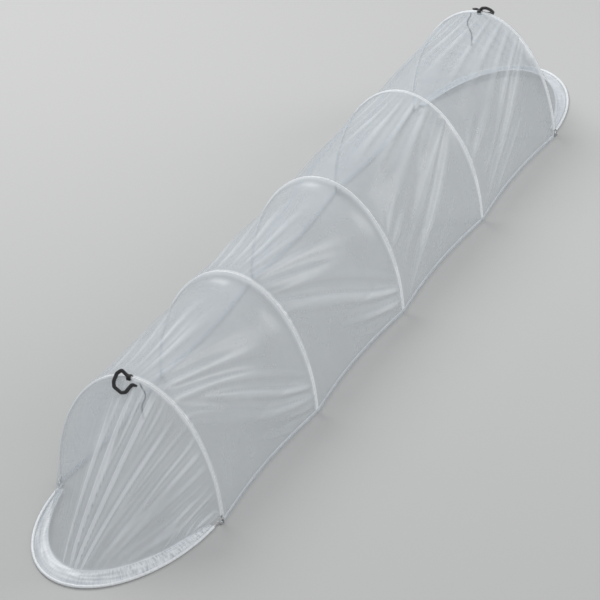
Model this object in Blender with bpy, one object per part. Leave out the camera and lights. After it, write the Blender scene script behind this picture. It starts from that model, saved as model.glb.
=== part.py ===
"""Row cover tunnel: clear film over wire hoops, with ends that open and sides that lift.

Metres, +Z up. The origin is on the soil line under the middle of the tunnel, which runs along Y
with its near end towards -Y. The far end is the near end turned half a turn about Z. The hoops'
legs go below the soil line.
"""

import math

import bmesh
import bpy
from mathutils import Matrix, Vector

# Gaps
CLEARANCE = 0.0003
CUT_OVERRUN = 0.001

# Hoops: half ellipses of wire with straight legs in the soil
HOOP_COUNT = 5
HOOP_SPACING = 0.57
HOOP_HALF_WIDTH = 0.2435
HOOP_HEIGHT = 0.3955
WIRE_R = 0.002
SPIKE_LENGTH = 0.12
SPIKE_POINT = 0.012
SPIKE_TIP_R = 0.0006
WIRE_SIDES = 8
ARCH_STEPS = 24
SHOULDER_STEP = 3
FOOT_STEP = 0.5

# Coil eye at each foot of the outer hoops
EYE_R = 0.0075
EYE_STEPS = 12
EYE_TURN_GAP = 0.0005

# End hoops: they lie on the soil and turn in the coil eyes
END_REACH = 0.398
END_HEIGHT = 0.005
END_BEND_R = 0.005
END_BEND_STEPS = 4
PIN_OVERHANG = 0.003

# Film and its sleeves
FILM = 0.0008
SLEEVE_BORE_R = 0.0027
SLEEVE_R = 0.0045
SLEEVE_SIDES = 6
BAY_COLUMNS = 24
BAY_ROWS = 7
CROWN_SAG = 0.005
SIDE_SAG = 0.017
FOLD_HEIGHT = 0.007
FOLD_SPREAD_SHARE = 0.034
# Tension folds, which fall from a hoop towards the next one inwards: their angles at the two hoops as
# shares of half a turn, height as a share of FOLD_HEIGHT
BAY_FOLD_SHARES = (
    (0.19, 0.10, 0.8),
    (0.25, 0.15, -1.0),
    (0.31, 0.20, 0.9),
    (0.37, 0.27, -0.6),
)

# Lifting sides
SEAM_GAP = 0.0005
SIDE_HEM_HEIGHT = 0.012
SIDE_HEM_THICKNESS = 0.0016
SOIL_GAP = 0.0005

# Gathered ends: the band rises from the wire towards its inner edge
BAND_WIDTH = 0.050
BAND_SLOPE = math.radians(16)
BAND_THICKNESS = 0.0012
BAND_ROWS = 2
CANOPY_LAP = 0.004
CANOPY_COLUMNS = 40
CANOPY_ROWS = 6
CANOPY_FOLDS = 10
CANOPY_FOLD_HEIGHT = 0.006
CANOPY_SAG = 0.008
# The folds lean: they come down to the band this share of the arch further round from the right
CANOPY_LEAN_SHARE = 0.15

# Vent hook: a collar round the crown and a C lying on the canopy
COLLAR_LENGTH = 0.012
COLLAR_WALL = 0.003
COLLAR_SIDES = 16
COLLAR_SLOT_GAP = 0.001
HOOK_R = 0.0046
HOOK_REACH = 0.046
HOOK_HALF_SPAN = 0.0345
HOOK_ROOT_LIFT = 0.0068
HOOK_LIFT = 0.0128
HOOK_SLOPE = math.radians(45)
# Centreline of the C after its root: across as shares of HOOK_HALF_SPAN, down as shares of HOOK_REACH
HOOK_PATH_SHARES = (
    (-0.20, -0.10),
    (-0.61, -0.27),
    (-0.93, -0.04),
    (-1.00, 0.46),
    (-0.83, 0.76),
    (-0.12, 1.00),
    (0.23, 0.92),
    (0.42, 0.62),
    (0.58, 0.41),
    (0.99, 0.43),
)

# Tie cord: hangs inside the crown, bends to one side and back, and ends in a knot
CORD_R = 0.002
CORD_STEP = 11
CORD_SEAT = 0.0014
# Its route from the sleeve's underside: across to the right, and up
CORD_ROUTE = (
    (0.0, 0.0),
    (0.0010, -0.0070),
    (0.0040, -0.0140),
    (0.0080, -0.0205),
    (0.0112, -0.0275),
    (0.0126, -0.0350),
    (0.0120, -0.0425),
    (0.0096, -0.0495),
    (0.0062, -0.0560),
    (0.0028, -0.0630),
    (0.0004, -0.0705),
    (-0.0008, -0.0780),
    (-0.0010, -0.0860),
    (-0.0004, -0.0940),
    (0.0004, -0.1015),
    (0.0006, -0.1060),
)
KNOT_R = 0.005

# Values worked out from those above
FILM_OFFSET = WIRE_R + CLEARANCE + FILM / 2
EDGE = SLEEVE_R + CLEARANCE
PITCH = 2 * WIRE_R + EYE_TURN_GAP
PIN_DROP = EYE_R * math.cos(math.pi / EYE_STEPS) - 2 * WIRE_R - CLEARANCE
EYE_HEIGHT = END_HEIGHT + PIN_DROP
PIVOT_SETBACK = EYE_R
END_HALF_WIDTH = HOOP_HALF_WIDTH - WIRE_R - CLEARANCE - END_BEND_R
PIN_END = HOOP_HALF_WIDTH + PITCH + WIRE_R + PIN_OVERHANG
STEP = math.pi / ARCH_STEPS
FIRST_Y = -HOOP_SPACING * (HOOP_COUNT - 1) / 2
SIDE_HEM_TOP = SOIL_GAP + SIDE_HEM_HEIGHT
COLLAR_DROP = HOOP_HEIGHT * (1 - math.sqrt(1 - (COLLAR_LENGTH / HOOP_HALF_WIDTH) ** 2))
COLLAR_BORE_R = (SLEEVE_R + COLLAR_DROP + CLEARANCE) / math.cos(math.pi / COLLAR_SIDES)
COLLAR_R = COLLAR_BORE_R + COLLAR_WALL

# Looks
STEEL = ((0.62, 0.63, 0.64), 0.35, 1.0, 1.0)
CLEAR_FILM = ((0.80, 0.84, 0.86), 0.25, 0.0, 0.35)
WHITE_FILM = ((0.88, 0.90, 0.92), 0.35, 0.0, 0.75)
BLACK_PLASTIC = ((0.012, 0.012, 0.013), 0.35, 0.0, 1.0)
BLACK_CORD = ((0.015, 0.015, 0.016), 0.85, 0.0, 1.0)


def clear_scene():
    for obj in list(bpy.data.objects):
        bpy.data.objects.remove(obj, do_unlink=True)


def finish(obj, look, smooth=True):
    """Gives an object its own material, and round pieces their smooth shading."""
    colour, roughness, metallic, alpha = look
    material = bpy.data.materials.new(obj.name)
    material.use_nodes = True
    shader = material.node_tree.nodes["Principled BSDF"]
    shader.inputs["Base Color"].default_value = (*colour, 1)
    shader.inputs["Roughness"].default_value = roughness
    shader.inputs["Metallic"].default_value = metallic
    shader.inputs["Alpha"].default_value = alpha
    obj.data.materials.append(material)
    if smooth and obj.type == "MESH":
        obj.data.shade_smooth()
        obj.data.set_sharp_from_angle(angle=math.radians(50))
    return obj


def mesh_object(name, shape, look, smooth=True):
    bmesh.ops.recalc_face_normals(shape, faces=shape.faces)
    mesh = bpy.data.meshes.new(name)
    shape.to_mesh(mesh)
    shape.free()
    obj = bpy.data.objects.new(name, mesh)
    bpy.context.collection.objects.link(obj)
    return finish(obj, look, smooth)


def rings_along(path, radii, sides):
    """Rings of points square to a path, turned as little as possible from one to the next."""
    rings = []
    across = None
    for i, point in enumerate(path):
        before = path[max(i - 1, 0)]
        after = path[min(i + 1, len(path) - 1)]
        along = (point - before).normalized() + (after - point).normalized()
        along.normalize()
        if across is None:
            across = along.orthogonal()
        across = (across - along * across.dot(along)).normalized()
        aside = along.cross(across)
        radius = radii[i]
        ring = []
        for k in range(sides):
            turn = 2 * math.pi * k / sides
            ring.append(point + across * radius * math.cos(turn) + aside * radius * math.sin(turn))
        rings.append(ring)
    return rings


def loft(shape, rings):
    """Joins rings into a skin and returns the rings' vertices."""
    made = [[shape.verts.new(p) for p in ring] for ring in rings]
    for low, high in zip(made, made[1:]):
        count = len(low)
        for k in range(count):
            nxt = (k + 1) % count
            shape.faces.new((low[k], low[nxt], high[nxt], high[k]))
    return made


def rod(path, radii, sides=WIRE_SIDES):
    """A solid round rod along a path."""
    shape = bmesh.new()
    made = loft(shape, rings_along(path, radii, sides))
    shape.faces.new(made[0])
    shape.faces.new(made[-1])
    return shape


def pipe(path, bore, outside, sides=SLEEVE_SIDES):
    """A tube along a path, open at both ends."""
    shape = bmesh.new()
    inner = loft(shape, rings_along(path, [bore] * len(path), sides))
    outer = loft(shape, rings_along(path, [outside] * len(path), sides))
    for end in (0, -1):
        for k in range(sides):
            nxt = (k + 1) % sides
            shape.faces.new((inner[end][k], inner[end][nxt], outer[end][nxt], outer[end][k]))
    return shape


def sheet_object(name, rows, look):
    """Thin film through a grid of points, in triangles so that both faces fold alike."""
    shape = bmesh.new()
    made = [[shape.verts.new(p) for p in row] for row in rows]
    for low, high in zip(made, made[1:]):
        for k in range(len(low) - 1):
            shape.faces.new((low[k], low[k + 1], high[k + 1]))
            shape.faces.new((low[k], high[k + 1], high[k]))
    obj = mesh_object(name, shape, look)
    thickness = obj.modifiers.new("film", "SOLIDIFY")
    thickness.thickness = FILM
    thickness.offset = 0
    return obj


def cutter(name, shape):
    obj = mesh_object(name, shape, BLACK_PLASTIC, smooth=False)
    obj.hide_render = True
    obj.display_type = "WIRE"
    return obj


def combine(obj, other, operation):
    change = obj.modifiers.new(operation.lower(), "BOOLEAN")
    change.operation = operation
    change.object = other
    change.solver = "EXACT"


def rod_across(radius, length, sides, start=0):
    """A cylinder along X, centred on the origin."""
    shape = bmesh.new()
    turn = Matrix.Rotation(math.pi / 2, 4, "Y") @ Matrix.Rotation(start, 4, "Z")
    bmesh.ops.create_cone(
        shape, cap_ends=True, segments=sides, radius1=radius, radius2=radius, depth=length, matrix=turn
    )
    return shape


def hoop_y(index):
    return FIRST_Y + HOOP_SPACING * index


def arch_point(angle, offset=0.0):
    """A point in the hoops' plane, offset outwards from the wire's centreline."""
    outward = Vector((HOOP_HEIGHT * math.cos(angle), 0, HOOP_HALF_WIDTH * math.sin(angle)))
    point = Vector((HOOP_HALF_WIDTH * math.cos(angle), 0, HOOP_HEIGHT * math.sin(angle)))
    return point + outward.normalized() * offset


def arch_steps(first):
    """Steps from one foot over the crown to the other, both ends at the given step."""
    low = [s for s in (0, FOOT_STEP, *range(1, SHOULDER_STEP)) if s >= first]
    middle = list(range(SHOULDER_STEP, ARCH_STEPS - SHOULDER_STEP + 1))
    return [*low, *middle, *[ARCH_STEPS - s for s in reversed(low)]]


def leg_with_eye():
    """The right leg of an outer hoop, from its point up through the coil eye."""
    outside = HOOP_HALF_WIDTH + PITCH
    path = [
        Vector((outside, 0, -SPIKE_LENGTH)),
        Vector((outside, 0, SPIKE_POINT - SPIKE_LENGTH)),
        Vector((outside, 0, EYE_HEIGHT - EYE_R)),
    ]
    for k in range(EYE_STEPS + 1):
        turn = 2 * math.pi * k / EYE_STEPS
        x = outside - PITCH * k / EYE_STEPS
        path.append(Vector((x, -EYE_R * (1 - math.cos(turn)), EYE_HEIGHT + EYE_R * math.sin(turn))))
    return path


def plain_leg():
    return [
        Vector((HOOP_HALF_WIDTH, 0, -SPIKE_LENGTH)),
        Vector((HOOP_HALF_WIDTH, 0, SPIKE_POINT - SPIKE_LENGTH)),
    ]


def mirrored(points):
    return [Vector((-p.x, p.y, p.z)) for p in reversed(points)]


def make_hoop(index):
    outer = index in (0, HOOP_COUNT - 1)
    leg = leg_with_eye() if outer else plain_leg()
    first = FOOT_STEP if outer else 0
    arch = [arch_point(step * STEP) for step in arch_steps(first)]
    path = [*leg, *arch, *mirrored(leg)]
    radii = [WIRE_R] * len(path)
    radii[0] = SPIKE_TIP_R
    radii[-1] = SPIKE_TIP_R
    obj = mesh_object(f"hoop_{index + 1}", rod(path, radii), STEEL)
    place_on_hoop(obj, index)


def place_on_hoop(obj, index):
    """Stands a piece in a hoop's plane. The last hoop's pieces face the far end."""
    obj.location = (0, hoop_y(index), 0)
    if index == HOOP_COUNT - 1:
        obj.rotation_euler = (0, 0, math.pi)


def make_hoop_sleeve(index):
    """The film channel round a hoop, down to the shoulder, or to the foot on the outer hoops."""
    outer = index in (0, HOOP_COUNT - 1)
    steps = arch_steps(FOOT_STEP if outer else SHOULDER_STEP)
    path = [arch_point(step * STEP) for step in steps]
    obj = mesh_object(f"hoop_sleeve_{index + 1}", pipe(path, SLEEVE_BORE_R, SLEEVE_R), WHITE_FILM)
    place_on_hoop(obj, index)


def bay_inset(share, angle, bay):
    """How far the film lies inside the hoops, at a share of the bay's length and an arch angle."""
    side = math.cos(angle) ** 2
    inset = CROWN_SAG + (SIDE_SAG - CROWN_SAG) * side
    run = share if bay < (HOOP_COUNT - 1) / 2 else 1 - share
    for mirror in (False, True):
        seen = math.pi - angle if mirror else angle
        for start, end, height in BAY_FOLD_SHARES:
            line = start + (end - start) * run
            away = (seen / math.pi - line) / FOLD_SPREAD_SHARE
            inset += height * FOLD_HEIGHT * math.exp(-away * away)
    return inset * math.sin(math.pi * share)


def bay_shares():
    return [row / BAY_ROWS for row in range(BAY_ROWS + 1)]


def cover_point(bay, share, angle, offset=FILM_OFFSET):
    """A point of the film between two hoops."""
    point = arch_point(angle, offset - bay_inset(share, angle, bay))
    point.y = hoop_y(bay) + EDGE + share * (HOOP_SPACING - 2 * EDGE)
    return point


def make_bay_film(bay):
    low = SHOULDER_STEP * STEP
    high = math.pi - low
    angles = [low + (high - low) * k / BAY_COLUMNS for k in range(BAY_COLUMNS + 1)]
    rows = [[cover_point(bay, share, angle) for angle in angles] for share in bay_shares()]
    return sheet_object(f"bay_film_{bay + 1}", rows, CLEAR_FILM)


def side_columns():
    """Every bay and share along the tunnel, for the films of the sides."""
    return [(bay, share) for bay in range(HOOP_COUNT - 1) for share in bay_shares()]


def side_angle(angle, side):
    """The arch angle on the left side, side -1, mirrors the one on the right, side 1."""
    return angle if side > 0 else math.pi - angle


def make_side(name, side):
    """The skirt from the shoulder down to the hem, and the hem that lifts."""
    top = SHOULDER_STEP * STEP - SEAM_GAP / HOOP_HEIGHT
    bottom = math.asin((SIDE_HEM_TOP + CLEARANCE) / HOOP_HEIGHT)
    steps = [step * STEP for step in (FOOT_STEP, *range(1, SHOULDER_STEP))]
    rows = []
    for angle in (bottom, *steps, top):
        seen = side_angle(angle, side)
        rows.append([cover_point(bay, share, seen) for bay, share in side_columns()])
    sheet_object(f"{name}_side_skirt", rows, CLEAR_FILM)

    rings = []
    for bay, share in side_columns():
        inner = cover_point(bay, share, side_angle(0, side), WIRE_R + CLEARANCE)
        low = Vector((inner.x, inner.y, SOIL_GAP))
        high = Vector((inner.x, inner.y, SIDE_HEM_TOP))
        wide = Vector((side * SIDE_HEM_THICKNESS, 0, 0))
        rings.append([low, low + wide, high + wide, high])
    shape = bmesh.new()
    made = loft(shape, rings)
    shape.faces.new(made[0])
    shape.faces.new(made[-1])
    bmesh.ops.triangulate(shape, faces=shape.faces)
    mesh_object(f"{name}_side_hem", shape, WHITE_FILM, smooth=False)


def end_point(angle, inset=0.0, height=0.0):
    """A point in the end hoop's plane, from its pivot line, with an inset from its wire."""
    return Vector(
        ((END_HALF_WIDTH - inset) * math.cos(angle), -(END_REACH - inset) * math.sin(angle), height)
    )


def place_on_pivot(obj, end):
    """Puts a piece's origin on the pivot line of the near end (0) or the far end (1)."""
    index = 0 if end == 0 else HOOP_COUNT - 1
    outward = -1 if end == 0 else 1
    obj.location = (0, hoop_y(index) + outward * PIVOT_SETBACK, END_HEIGHT)
    if end == 1:
        obj.rotation_euler = (0, 0, math.pi)


def make_end_hoop(name, end):
    """The end hoop, its ends bent outwards through the coil eyes as pivot pins."""
    bend = []
    for k in range(END_BEND_STEPS + 1):
        turn = math.pi / 2 * k / END_BEND_STEPS
        x = END_HALF_WIDTH + END_BEND_R * (1 - math.sin(turn))
        bend.append(Vector((x, -END_BEND_R * (1 - math.cos(turn)), 0)))
    side = [Vector((PIN_END, 0, 0)), *bend]
    arch = [end_point(step * STEP) for step in arch_steps(FOOT_STEP)]
    path = [*side, *arch, *mirrored(side)]
    obj = mesh_object(f"{name}_end_hoop", rod(path, [WIRE_R] * len(path)), STEEL)
    place_on_pivot(obj, end)


def make_end_sleeve(name, end):
    path = [end_point(step * STEP) for step in arch_steps(FOOT_STEP)]
    obj = mesh_object(f"{name}_end_sleeve", pipe(path, SLEEVE_BORE_R, SLEEVE_R), WHITE_FILM)
    place_on_pivot(obj, end)


def band_width(angle):
    """The band narrows towards the pivots."""
    return BAND_WIDTH * math.sqrt(math.sin(angle))


def band_inset(angle, share):
    """How far from the wire a share of the band's width lies."""
    return EDGE + share * band_width(angle) * math.cos(BAND_SLOPE)


def band_height(angle, share):
    """The middle of the band's thickness, from the pivot line."""
    return share * band_width(angle) * math.sin(BAND_SLOPE)


def make_hem_band(name, end):
    """The band inside the end hoop: its outer edge at the wire, its inner edge raised off the soil."""
    shares = [row / BAND_ROWS for row in range(BAND_ROWS + 1)]
    half = BAND_THICKNESS / 2
    rings = []
    for step in arch_steps(FOOT_STEP):
        angle = step * STEP
        middle = [end_point(angle, band_inset(angle, s), band_height(angle, s)) for s in shares]
        top = [point + Vector((0, 0, half)) for point in middle]
        under = [point - Vector((0, 0, half)) for point in reversed(middle)]
        rings.append([*top, *under])
    shape = bmesh.new()
    made = loft(shape, rings)
    shape.faces.new(made[0])
    shape.faces.new(made[-1])
    bmesh.ops.triangulate(shape, faces=shape.faces)
    obj = mesh_object(f"{name}_hem_band", shape, WHITE_FILM, smooth=False)
    place_on_pivot(obj, end)


def canopy_edges(angle):
    """The canopy's lower edge on the band and its upper edge at the outer hoop's sleeve."""
    share = 1 - CANOPY_LAP / band_width(angle)
    low = end_point(angle, band_inset(angle, share), band_height(angle, share))
    low += Vector((0, -PIVOT_SETBACK, END_HEIGHT + BAND_THICKNESS / 2 + CLEARANCE + FILM))
    high = arch_point(angle, FILM_OFFSET)
    high.y = -(EDGE + FILM)
    return low, high


def make_end_canopy(name, end, slot):
    """The gathered film from the outer hoop down to the end hoop's band."""
    low_angle = FOOT_STEP * STEP
    columns = []
    for k in range(CANOPY_COLUMNS + 1):
        share = k / CANOPY_COLUMNS
        angle = low_angle + (math.pi - 2 * low_angle) * share
        low, high = canopy_edges(angle)
        outward = Vector((math.cos(angle), -math.sin(angle), math.sin(angle))).normalized()
        size = math.sin(math.pi * share) ** 0.5 if 0 < k < CANOPY_COLUMNS else 0
        column = []
        for row in range(CANOPY_ROWS + 1):
            rise = row / CANOPY_ROWS
            line = share - CANOPY_LEAN_SHARE * (1 - rise)
            fold = CANOPY_FOLD_HEIGHT * math.cos(2 * math.pi * CANOPY_FOLDS * line)
            wave = math.sin(math.pi * rise) * size
            column.append(low.lerp(high, rise) + outward * wave * (fold - CANOPY_SAG))
        columns.append(column)
    obj = sheet_object(f"{name}_end_canopy", columns, CLEAR_FILM)
    place_on_hoop(obj, 0 if end == 0 else HOOP_COUNT - 1)
    combine(obj, slot, "DIFFERENCE")


def make_slot(name, end):
    """The cutter for the slot in the film that the hook's collar stands in."""
    radius = COLLAR_R + COLLAR_SLOT_GAP
    length = COLLAR_LENGTH + 2 * COLLAR_SLOT_GAP
    obj = cutter(f"{name}_slot_cutter", rod_across(radius, length, COLLAR_SIDES))
    obj.location = (0, hoop_y(0 if end == 0 else HOOP_COUNT - 1), HOOP_HEIGHT)
    return obj


def hook_point(across, down, lift):
    """A point of the hook from the crown: across the tunnel, down the canopy, and off it."""
    y = -down * math.cos(HOOK_SLOPE) - lift * math.sin(HOOK_SLOPE)
    z = -down * math.sin(HOOK_SLOPE) + lift * math.cos(HOOK_SLOPE)
    return Vector((across, y, z))


def make_vent_hook(name, end):
    """The C-shaped hook on its collar, lying on the canopy."""
    path = [hook_point(0, 0, HOOK_ROOT_LIFT)]
    for across, down in HOOK_PATH_SHARES:
        path.append(hook_point(across * HOOK_HALF_SPAN, down * HOOK_REACH, HOOK_LIFT))
    obj = mesh_object(f"{name}_vent_hook", rod(path, [HOOK_R] * len(path)), BLACK_PLASTIC, smooth=False)
    collar = cutter(f"{name}_collar_body", rod_across(COLLAR_R, COLLAR_LENGTH, COLLAR_SIDES))
    bore = cutter(
        f"{name}_collar_bore",
        rod_across(COLLAR_BORE_R, COLLAR_LENGTH + 2 * CUT_OVERRUN, COLLAR_SIDES),
    )
    for piece in (obj, collar, bore):
        piece.location = (0, hoop_y(0 if end == 0 else HOOP_COUNT - 1), HOOP_HEIGHT)
        if end == 1:
            piece.rotation_euler = (0, 0, math.pi)
    combine(obj, collar, "UNION")
    combine(obj, bore, "DIFFERENCE")


def cord_route():
    """The cord's centreline from the underside of the sleeve."""
    start = arch_point(CORD_STEP * STEP, -(SLEEVE_R + CORD_SEAT))
    return [start + Vector((across, 0, up)) for across, up in CORD_ROUTE]


def make_tie_cord(name, end):
    """The cord as a round curve with closed ends, and its knot."""
    points = cord_route()
    curve = bpy.data.curves.new(f"{name}_tie_cord", "CURVE")
    curve.dimensions = "3D"
    curve.bevel_depth = CORD_R
    curve.bevel_resolution = 2
    curve.use_fill_caps = True
    spline = curve.splines.new("POLY")
    spline.points.add(len(points) - 1)
    for point, at in zip(spline.points, points):
        point.co = (*at, 1)
    cord = bpy.data.objects.new(f"{name}_tie_cord", curve)
    bpy.context.collection.objects.link(cord)
    finish(cord, BLACK_CORD)

    shape = bmesh.new()
    bmesh.ops.create_icosphere(shape, subdivisions=2, radius=KNOT_R)
    bmesh.ops.translate(shape, verts=shape.verts, vec=points[-1] - Vector((0, 0, KNOT_R + CLEARANCE)))
    knot = mesh_object(f"{name}_tie_knot", shape, BLACK_CORD)
    for piece in (cord, knot):
        place_on_hoop(piece, 0 if end == 0 else HOOP_COUNT - 1)


def main():
    clear_scene()
    slots = [make_slot(name, end) for end, name in enumerate(("near", "far"))]
    for index in range(HOOP_COUNT):
        make_hoop(index)
        make_hoop_sleeve(index)
    films = [make_bay_film(bay) for bay in range(HOOP_COUNT - 1)]
    combine(films[0], slots[0], "DIFFERENCE")
    combine(films[-1], slots[1], "DIFFERENCE")
    make_side("right", 1)
    make_side("left", -1)
    for end, name in enumerate(("near", "far")):
        make_end_hoop(name, end)
        make_end_sleeve(name, end)
        make_hem_band(name, end)
        make_end_canopy(name, end, slots[end])
        make_vent_hook(name, end)
        make_tie_cord(name, end)


main()
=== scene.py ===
"""Looks of the row cover tunnel: creased clear film over wire hoops, gathered at its two ends.

Metres, in the model's own frame: +Y along the tunnel, +Z up, the soil line at z = 0. The near end is
made first, and the far end is the same pieces turned half a turn about Z.
"""

import math

import bmesh
import bpy
import numpy as np
from mathutils import Matrix, Vector


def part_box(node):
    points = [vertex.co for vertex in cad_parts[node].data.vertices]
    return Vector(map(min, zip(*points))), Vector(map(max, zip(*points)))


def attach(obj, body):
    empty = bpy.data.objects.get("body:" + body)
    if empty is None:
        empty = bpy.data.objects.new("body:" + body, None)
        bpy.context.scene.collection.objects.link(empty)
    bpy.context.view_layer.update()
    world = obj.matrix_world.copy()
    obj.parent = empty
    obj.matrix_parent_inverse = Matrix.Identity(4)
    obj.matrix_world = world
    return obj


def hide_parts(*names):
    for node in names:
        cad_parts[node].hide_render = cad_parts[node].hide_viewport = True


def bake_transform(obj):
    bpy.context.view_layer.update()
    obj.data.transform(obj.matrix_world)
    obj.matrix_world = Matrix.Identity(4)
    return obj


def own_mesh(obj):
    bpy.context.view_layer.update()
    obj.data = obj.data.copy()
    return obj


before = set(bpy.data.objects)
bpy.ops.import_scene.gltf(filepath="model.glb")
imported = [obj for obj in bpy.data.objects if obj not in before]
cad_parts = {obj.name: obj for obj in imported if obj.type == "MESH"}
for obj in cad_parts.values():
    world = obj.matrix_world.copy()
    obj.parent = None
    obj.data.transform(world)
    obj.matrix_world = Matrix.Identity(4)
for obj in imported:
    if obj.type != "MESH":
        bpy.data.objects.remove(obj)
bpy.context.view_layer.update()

# Sizes that the boxes of the record's solids don't tell
WIRE_R = 0.002
EYE_R = 0.0075
# The sides that the coil eyes have in the solids
EYE_SIDES = 12
PITCH = 0.0045
SPIKE_POINT = 0.012
SPIKE_TIP_R = 0.0006
SLEEVE_R = 0.0045
FILM = 0.0008
CLEARANCE = 0.0003
BEND_R = 0.005
BAND_WIDTH = 0.050
BAND_SLOPE = math.radians(16)
CANOPY_LAP = 0.004
CANOPY_LAP_RISE = 0.0017
SHOULDER = math.radians(22.5)
FOOT = math.radians(3.75)

# Sizes read from the frame
HOOP_COUNT = 5
LAST_HOOP = HOOP_COUNT - 1
LOW_2, HIGH_2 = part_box("hoop_2")
HALF_WIDTH = HIGH_2.x - WIRE_R
HEIGHT = HIGH_2.z - WIRE_R
SPIKE_END = LOW_2.z
FIRST_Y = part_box("hoop_1")[1].y - WIRE_R
LAST_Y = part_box("hoop_5")[0].y + WIRE_R
SPACING = (LAST_Y - FIRST_Y) / LAST_HOOP
LOW_END, HIGH_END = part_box("near_end_hoop")
PIVOT_Z = (LOW_END.z + HIGH_END.z) / 2
PIVOT_SETBACK = EYE_R
EYE_Z = PIVOT_Z + EYE_R * math.cos(math.pi / EYE_SIDES) - 2 * WIRE_R - CLEARANCE
END_REACH = FIRST_Y - PIVOT_SETBACK - LOW_END.y - WIRE_R
END_HALF_WIDTH = HALF_WIDTH - WIRE_R - CLEARANCE - BEND_R
PIN_END = HIGH_END.x
HEM_LOW, HEM_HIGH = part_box("right_side_hem")
EDGE = SLEEVE_R + CLEARANCE
FILM_OFFSET = WIRE_R + CLEARANCE + FILM / 2
SKIRT_BOTTOM = HEM_HIGH.z + CLEARANCE


# Noise on arrays, the same each run


def gradient_noise(x, y, seed):
    """Smooth noise, from about -1 to 1."""
    random = np.random.RandomState(seed)
    table = random.permutation(256)
    turn = random.rand(256) * 2 * math.pi
    x, y = np.broadcast_arrays(np.asarray(x, float), np.asarray(y, float))
    xi, yi = np.floor(x).astype(int), np.floor(y).astype(int)
    xf, yf = x - xi, y - yi

    def corner(dx, dy):
        hashed = table[(table[(xi + dx) & 255] + yi + dy) & 255]
        return np.cos(turn[hashed]) * (xf - dx) + np.sin(turn[hashed]) * (yf - dy)

    u = xf * xf * xf * (xf * (xf * 6 - 15) + 10)
    v = yf * yf * yf * (yf * (yf * 6 - 15) + 10)
    low = corner(0, 0) * (1 - u) + corner(1, 0) * u
    high = corner(0, 1) * (1 - u) + corner(1, 1) * u
    return 1.5 * (low * (1 - v) + high * v)


def row_noise(x, seed, row=0.5):
    """Smooth noise that varies one way only."""
    return gradient_noise(x, row, seed)


def ridges(x, y, seed):
    """Sharp crests between smooth hollows, from about -1 to 1."""
    return 1 - 2.4 * np.abs(gradient_noise(x, y, seed))


def step_up(x, middle, width):
    """A smooth step from 0 to 1."""
    return 1 / (1 + np.exp(-(x - middle) / width))


def spread_matrix(count, spread):
    """Weights that smooth a row of values with a bell of a given spread, in steps."""
    away = np.arange(count)[:, None] - np.arange(count)[None]
    weight = np.exp(-0.5 * (away / spread) ** 2)
    return weight / weight.sum(1, keepdims=True)


def smoothed(values, row_spread, column_spread):
    rows = spread_matrix(values.shape[0], row_spread)
    columns = spread_matrix(values.shape[1], column_spread)
    return rows @ values @ columns.T


def broad_part(move, row_waves, column_waves):
    """The first few sine waves of a move each way, which are zero all round its edge."""
    row_count, column_count = move.shape[:2]
    rows = np.sin(np.outer(np.linspace(0, math.pi, row_count), np.arange(1, row_waves + 1)))
    columns = np.sin(np.outer(np.linspace(0, math.pi, column_count), np.arange(1, column_waves + 1)))
    waves = np.einsum("rm,rck,cn->mnk", rows, move, columns, optimize=True)
    waves *= 4 / ((row_count - 1) * (column_count - 1))
    return np.einsum("rm,mnk,cn->rck", rows, waves, columns, optimize=True)


def curvature(height, row_step, column_step):
    """How sharply a height field bends, in 1/m: below zero on a ridge."""
    bent = np.zeros_like(height)
    bent[1:-1] += (height[2:] - 2 * height[1:-1] + height[:-2]) / row_step[1:-1] ** 2
    bent[:, 1:-1] += (height[:, 2:] - 2 * height[:, 1:-1] + height[:, :-2]) / column_step[:, 1:-1] ** 2
    return bent


# Meshes

# Difference in mark between a quad's diagonals under which it is cut like its neighbours
EVEN_MARK = 0.03
SHARP_ANGLE = math.radians(60)
# Points closer together than this are one point
SEAM_REACH = 1e-6
ARC_STEPS = 720
PATH_STEP = 0.002
WIRE_STEP = 0.006


def link(name, data):
    obj = bpy.data.objects.new(name, data)
    bpy.context.scene.collection.objects.link(obj)
    return obj


def dress(obj, body, node=None):
    """Rides a piece on a body, in place of a CAD solid if one is named."""
    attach(obj, body)
    if node:
        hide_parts(node)


def cut_along_marks(quads, marks):
    """Quads as triangles, each cut along its more strongly marked diagonal, so that creases stay smooth."""
    corners = np.asarray(marks).ravel()[quads]
    first = corners[:, 0] + corners[:, 2] >= corners[:, 1] + corners[:, 3] - EVEN_MARK
    straight, crossed = quads[first], quads[~first]
    parts = [straight[:, [0, 1, 2]], straight[:, [0, 2, 3]], crossed[:, [1, 2, 3]], crossed[:, [1, 3, 0]]]
    return np.concatenate(parts).tolist()


def edge_rows_added(values, count=2):
    """Rows of values with a few more inside the first and last gaps, where narrow marks lie."""
    shares = [k / (count + 1) for k in range(1, count + 1)]
    first = [values[0] * (1 - share) + values[1] * share for share in shares]
    last = [values[-2] * (1 - share) + values[-1] * share for share in shares]
    return np.stack([values[0], *first, *values[1:-1], *last, values[-1]])


def edge_columns_added(values):
    return edge_rows_added(values.swapaxes(0, 1)).swapaxes(0, 1)


def face_outwards(mesh, joined=False):
    """Turns a mesh's faces outwards, and first joins the points that lie on each other if asked."""
    shape = bmesh.new()
    shape.from_mesh(mesh)
    if joined:
        bmesh.ops.remove_doubles(shape, verts=shape.verts, dist=SEAM_REACH)
    bmesh.ops.recalc_face_normals(shape, faces=shape.faces)
    shape.to_mesh(mesh)
    shape.free()


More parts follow.
